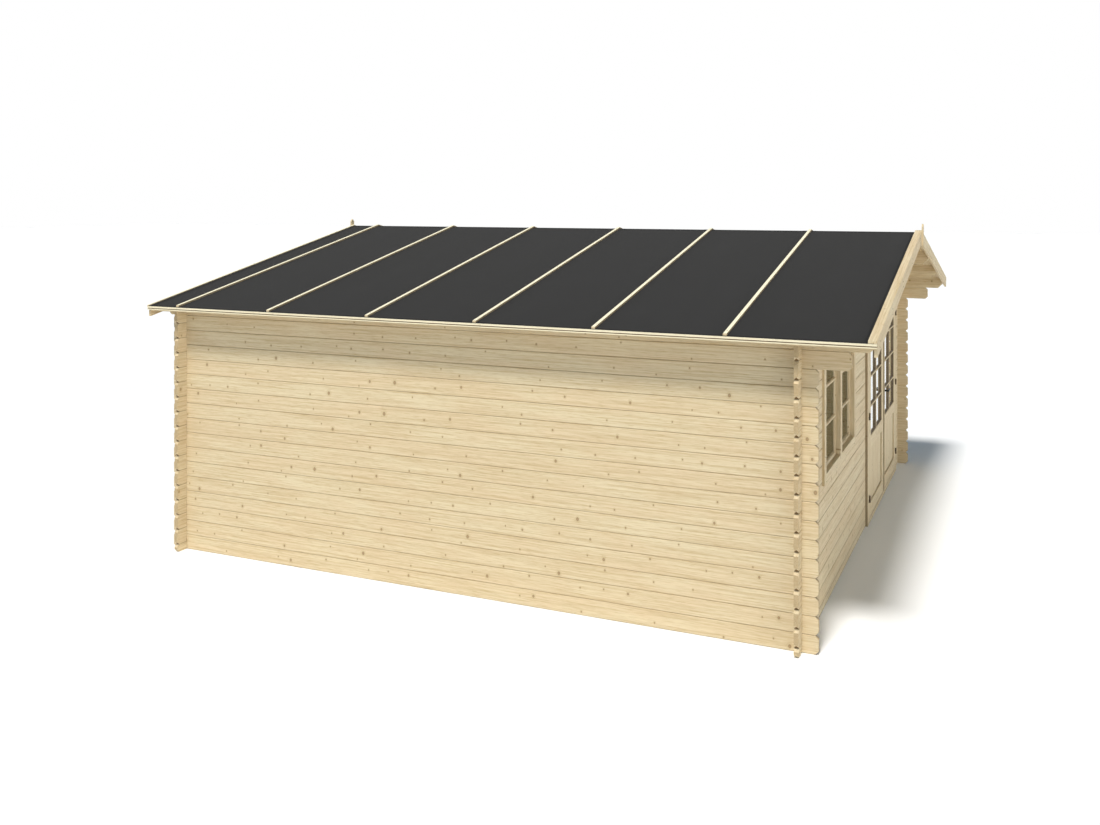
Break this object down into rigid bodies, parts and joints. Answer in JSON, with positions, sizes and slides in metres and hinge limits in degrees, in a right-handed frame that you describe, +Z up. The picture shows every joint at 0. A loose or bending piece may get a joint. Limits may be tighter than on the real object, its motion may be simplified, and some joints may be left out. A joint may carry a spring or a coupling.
{
  "type": "wooden garden house",
  "caption": "Log-built garden house with interlocking notched corners, a low gable roof in dark felt, a double window and a glazed double door that opens outwards",
  "frame": {"origin": "on the ground under the middle of the roof, midway between the eaves and between the two finials", "axes": "+Z up, -Y out of the front wall with the door, +X to the right seen from the front"},
  "size_m": [5.84, 5.764, 2.6654],
  "materials": {
    "log_timber": "planed bare spruce",
    "joinery_timber": "planed bare spruce",
    "trim_timber": "planed bare spruce",
    "roof_timber": "planed bare spruce",
    "roofing_felt": "mineral-faced bitumen felt, matt",
    "clear_glass": "clear float glass",
    "hinge_metal": "dark coated steel",
    "handle_metal": "black satin"
  },
  "bodies": {
    "house": {"back_barge_caps": "trim_timber", "back_finial": "trim_timber", "back_gable": "log_timber", "back_left_bargeboard": "trim_timber", "back_right_bargeboard": "trim_timber", "back_wall": "log_timber", "door_head": "joinery_timber", "door_left_jamb": "joinery_timber", "door_right_jamb": "joinery_timber", "door_threshold": "joinery_timber", "front_barge_caps": "trim_timber", "front_finial": "trim_timber", "front_gable": "log_timber", "front_left_bargeboard": "trim_timber", "front_right_bargeboard": "trim_timber", "front_wall_corner": "log_timber", "front_wall_lintel": "log_timber", "front_wall_pier": "log_timber", "front_wall_right": "log_timber", "front_wall_sill": "log_timber", "left_eave_lath": "trim_timber", "left_eave_strip": "trim_timber", "left_felt_battens": "trim_timber", "left_frame_hinges": "hinge_metal", "left_purlins": "roof_timber", "left_roof_deck": "roof_timber", "left_roof_felt": "roofing_felt", "left_wall": "log_timber", "left_wall_top": "log_timber", "ridge_purlin": "roof_timber", "right_eave_lath": "trim_timber", "right_eave_strip": "trim_timber", "right_felt_battens": "trim_timber", "right_frame_hinges": "hinge_metal", "right_purlins": "roof_timber", "right_roof_deck": "roof_timber", "right_roof_felt": "roofing_felt", "right_wall": "log_timber", "right_wall_top": "log_timber", "window_frame": "joinery_timber", "window_left_glass": "clear_glass", "window_left_sash": "joinery_timber", "window_right_glass": "clear_glass", "window_right_sash": "joinery_timber"},
    "left_door": {"left_door_leaf": "joinery_timber", "left_door_glass": "clear_glass", "left_leaf_hinges": "hinge_metal"},
    "right_door": {"right_door_leaf": "joinery_timber", "right_door_glass": "clear_glass", "right_leaf_hinges": "hinge_metal", "door_handles": "handle_metal"}
  },
  "joints": [
    {"name": "left_door_hinge", "type": "hinge", "parent": "house", "child": "left_door", "pos_m": [0.259, -2.409, 0.95], "axis": [0, 0, -1], "range_deg": [0, 110]},
    {"name": "right_door_hinge", "type": "hinge", "parent": "house", "child": "right_door", "pos_m": [2.273, -2.409, 0.95], "axis": [0, 0, 1], "range_deg": [0, 110]}
  ]
}
